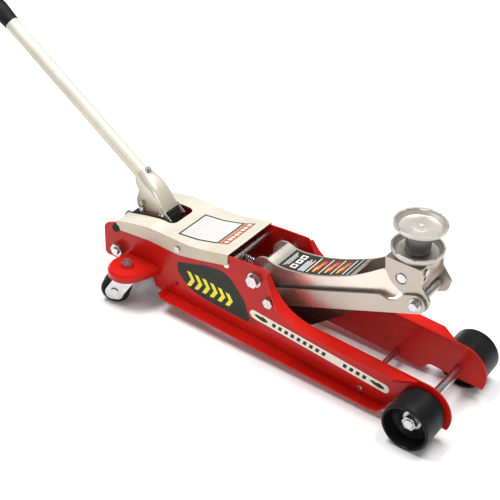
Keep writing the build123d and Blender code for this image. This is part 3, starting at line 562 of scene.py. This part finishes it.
def cover_label(ink):
    """Pale label with a dark frame and faint rows, and a coloured band with pale blocks ahead of it."""
    rows = []
    for i in range(13):
        right, left = 0.1 + 0.06 * (i % 2), 0.9 - 0.13 * (i * 5 % 3)
        rear = 0.1 + 0.065 * i
        rows.append(patch(COVER_LABEL, right, left, rear, rear + 0.012))
    blocks = []
    for i in range(8):
        right = 0.06 + 0.115 * i
        blocks.append(patch(COVER_BAND, right, right + 0.06 + 0.02 * (i % 2), 0.42, 0.78))
    label("cover_label", "chassis", "cover_plate", from_above,
          [(ink["black"], [patch(COVER_LABEL, 0, 1, 0, 1)]),
           (ink["paper"], [patch(COVER_LABEL, 0.045, 0.955, 0.04, 0.96)]),
           (ink["faint"], rows)], 4.0)
    label("cover_band", "chassis", "cover_plate", from_above,
          [(ink["brick"], [patch(COVER_BAND, 0, 1, 0, 1)]),
           (ink["tan"], [patch(COVER_BAND, 0.03, 0.97, 0.12, 0.24)]),
           (ink["cream"], blocks)], 4.0)


def on_arm(u, v):
    """Label coordinates on the arm's top plate: distance from the arm's pivot and y, in millimetres."""
    return PIVOT + ALONG * (u * MM) + Vector((0, v * MM, 0)) + ARM_UP * FROM_ARM, -ARM_UP


def arm_label(ink):
    """Dark label with three pale signs, rows of fine lines and three warm fields between rules."""
    signs = [oblong(43, 54, 9, 20), oblong(44, 54, -5, 6), oblong(43, 54, -20, -9)]
    sign_holes = [disc(48.5, 14.5, 3.2), oblong(47, 51, -2, 3), disc(48.5, -14.5, 3.2)]
    fine = [oblong(32 + 2.6 * i, 33 + 2.6 * i, -21 + 3 * i, 22 - 4 * i) for i in range(3)]
    lines = [oblong(60 + 3.2 * i, 61.6 + 3.2 * i, -23, 8 + 3 * (i * 2 % 4)) for i in range(4)]
    rules = [oblong(s, s + 2.0, -23, 23) for s in (76, 99, 122, 145)] + [oblong(155, 156.5, -25, 25)]
    fields, glows, sparks = [], [], []
    for start in (78.5, 101.5, 124.5):
        fields += [oblong(start, start + 19, -13, 19), oblong(start + 3, start + 17, -18, 22)]
        glows += [oblong(start + 4, start + 14, -12, 2), oblong(start + 8, start + 16, 4, 15)]
        sparks += [oblong(start + 6, start + 9.5, -19, -5), oblong(start + 9, start + 11, -9, 9)]
    label("arm_label", "arm", "lift_arm", on_arm,
          [(ink["black"], [oblong(27, 163, -26.3, 26.3)]), (ink["wine"], fields), (ink["rust"], glows),
           (ink["gold"], sparks), (ink["white"], signs + fine + lines + rules),
           (ink["black"], sign_holes)], 6.0)


# ---- wire, sleeve and socket ------------------------------------------------------------------------------
def tube_along(name, points, radius, material, sides=8):
    """Closed round tube along a list of points."""
    bm = bmesh.new()
    rings = []
    side = (points[1] - points[0]).orthogonal().normalized()
    for i, point in enumerate(points):
        ahead = (points[min(i + 1, len(points) - 1)] - points[max(i - 1, 0)]).normalized()
        side = (side - ahead * side.dot(ahead)).normalized()
        rings.append(ring(bm, point, side, ahead.cross(side), radius, sides))
    for first, second in zip(rings, rings[1:]):
        join_rings(bm, first, second)
    bm.faces.new(list(reversed(rings[0])))
    bm.faces.new(rings[-1])
    piece = add_piece(name, bm, [material])
    for polygon in piece.data.polygons:
        polygon.use_smooth = len(polygon.vertices) == 4
    return piece


def return_spring(materials):
    """Wire spring from the pump block to the arm's distance tube, with a straight tail at both ends."""
    coil, wire, y, z = 5.0 * MM, 0.9 * MM, -7.0 * MM, 126.0 * MM
    start, end = AXLE_X - 424 * MM, AXLE_X - 352 * MM
    turns, steps = 20, 14
    points = [Vector((start - 10 * MM, y, z - 1 * MM)), Vector((start - 3 * MM, y, z))]
    for i in range(turns * steps + 1):
        turn = 2 * pi * i / steps
        along = start + (end - start) * i / (turns * steps)
        points.append(Vector((along, y + coil * cos(turn), z + coil * sin(turn))))
    points += [Vector((end + 3 * MM, y, z)), Vector((end + 20 * MM, y, z - 1 * MM))]
    spring = tube_along("return_spring", points, wire, materials["zinc"])
    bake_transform(spring)


def turned_ring(name, centre, profile, material, body, sides=48):
    """Closed ring about a cross-wise axis; profile is a closed list of (y, radius), in millimetres."""
    bm = bmesh.new()
    forward, up = Vector((1, 0, 0)), Vector((0, 0, 1))
    rings = [ring(bm, centre + Vector((0, y * MM, 0)), forward, up, radius * MM, sides)
             for y, radius in profile]
    for first, second in zip(rings, rings[1:] + rings[:1]):
        join_rings(bm, first, second)
    piece = add_piece(name, bm, [material])
    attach(piece, body)


def rod_sleeve(materials):
    """Distance sleeve on the rod between the two lower ears of the saddle carrier."""
    low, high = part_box("link_tip_rod")
    sheet, gap, outer, chamfer = 4.0, 0.4, 7.6, 0.5
    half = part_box("saddle_carrier")[1].y / MM - sheet - gap
    inner = (high.z - low.z) / 2 / MM + 0.1
    turned_ring("rod_sleeve", (low + high) / 2,
                [(-half, inner), (-half, outer - chamfer), (chamfer - half, outer), (half - chamfer, outer),
                 (half, outer - chamfer), (half, inner)], materials["zinc_satin"], "carrier")


# Sections of the handle socket, in millimetres: distance along the handle, depth of the cheeks, height of the
# front face, half width and bend radius
SOCKET_SECTIONS = [
    (28, -1, 15, 15.2, 14.2), (26.5, -4.5, 15, 15.2, 14.2), (23, -9, 15, 15.4, 14.2),
    (19.5, -12, 15, 15.8, 14), (13, -14, 15, 16.8, 14), (8, -15, 15, 17.6, 13.6),
    (5.5, -19, 15, 18, 13.4), (3.5, -27, 15, 18.3, 13.2), (0, -34, 15, 18.8, 12.8),
    (-6, -40, 14.5, 19.3, 12), (-13, -43.5, 13.5, 19.5, 11), (-20, -44, 11.5, 19.5, 9.8),
    (-31, -42, 7, 19.5, 7.8), (-38, -37, 3.8, 19.5, 6.8), (-45, -32, 0.5, 19.5, 5.8),
    (-53, -26.5, -3, 19.5, 5), (-54, -26, -2.5, 19.5, 1), (-58, -22, -2.7, 19.5, 1),
    (-62, -17, -3, 19.5, 1), (-66, -11.5, -3.2, 19.5, 1), (-70, -6.5, -3.6, 19.5, 1),
]
CHEEK_STEPS, BEND_STEPS, FACE_STEPS = 8, 7, 4
OPEN_BELOW = -52.5               # where the front face ends, and only the two cheeks go on
SOCKET_SHEET, SOCKET_EDGE = 2.5, 0.35


def socket_section(section):
    """Points of one section, from the right cheek's edge over the front face to the left one's."""
    distance, depth, height, half, radius = section
    line = [(-half, depth + (height - radius - depth) * i / CHEEK_STEPS) for i in range(CHEEK_STEPS)]
    for i in range(BEND_STEPS + 1):
        turn = radians(180 - 90 * i / BEND_STEPS)
        line.append((radius - half + radius * cos(turn), height - radius + radius * sin(turn)))
    flat = half - radius
    line += [(-flat + 2 * flat * i / FACE_STEPS, height) for i in range(1, FACE_STEPS // 2)]
    line += [(0.0, height)]
    line += [(-y, h) for y, h in reversed(line[:-1])]
    return [HANDLE_AT + HANDLE_ALONG * (distance * MM) + HANDLE_UP * (h * MM) + Vector((0, y * MM, 0))
            for y, h in line]


def handle_socket_shell(materials):
    """Pressed-steel socket: a channel whose bends open out of the tube's round into two flat cheeks."""
    bm = bmesh.new()
    rows = [[bm.verts.new(point) for point in socket_section(section)] for section in SOCKET_SECTIONS]
    face_start = CHEEK_STEPS + BEND_STEPS
    for first, second, section in zip(rows, rows[1:], SOCKET_SECTIONS):
        for k in range(len(first) - 1):
            on_face = face_start <= k < len(first) - 1 - face_start
            if section[0] >= OPEN_BELOW or not on_face:
                bm.faces.new([first[k], first[k + 1], second[k + 1], second[k]])
    piece = add_piece("socket_shell", bm, [materials["socket"]])
    for polygon in piece.data.polygons:
        polygon.use_smooth = True
    thick = piece.modifiers.new("thickness", "SOLIDIFY")
    thick.thickness = SOCKET_SHEET * MM
    thick.offset = -1.0
    edge = piece.modifiers.new("edges", "BEVEL")
    edge.width = SOCKET_EDGE * MM
    edge.segments = 2
    edge.limit_method = "ANGLE"
    edge.angle_limit = radians(40)
    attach(piece, "socket")
    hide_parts("handle_socket")


make_camera()
make_studio()
materials = make_materials()
more_materials(materials)
dress_frame(materials)
ink = print_inks()
web_labels(ink)
cover_label(ink)
arm_label(ink)
return_spring(materials)
rod_sleeve(materials)
handle_socket_shell(materials)
